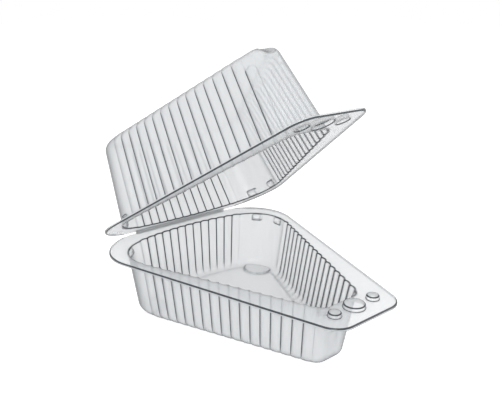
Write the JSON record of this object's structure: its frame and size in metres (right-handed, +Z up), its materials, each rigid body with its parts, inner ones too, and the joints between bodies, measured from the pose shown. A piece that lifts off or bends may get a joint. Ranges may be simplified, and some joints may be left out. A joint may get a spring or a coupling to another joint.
{
  "type": "hinged clamshell pack",
  "caption": "Wedge-shaped hinged clamshell pack for a slice of pie, fluted walls, deep lid part open, snap buttons on the nose tab.",
  "frame": {"origin": "centre of the base tray's flat underside, midway between its rear and nose walls", "axes": "+Z up, +X along the hinge line, +Y to the hinge at the wide rear end, nose tab towards -Y"},
  "size_m": [0.1282, 0.1809, 0.1535],
  "materials": {
    "formed_sheet": "clear glossy sheet with a slight haze"
  },
  "bodies": {
    "base": {"base_tray": "formed_sheet"},
    "lid": {"lid": "formed_sheet"}
  },
  "joints": [
    {"name": "lid_hinge", "type": "hinge", "parent": "base", "child": "lid", "pos_m": [0, 0.0756, 0.0371], "axis": [-1, 0, 0], "range_deg": [-34, 121], "stiffness_Nm_per_rad": 0.025, "springref_deg": 16.33}
  ]
}
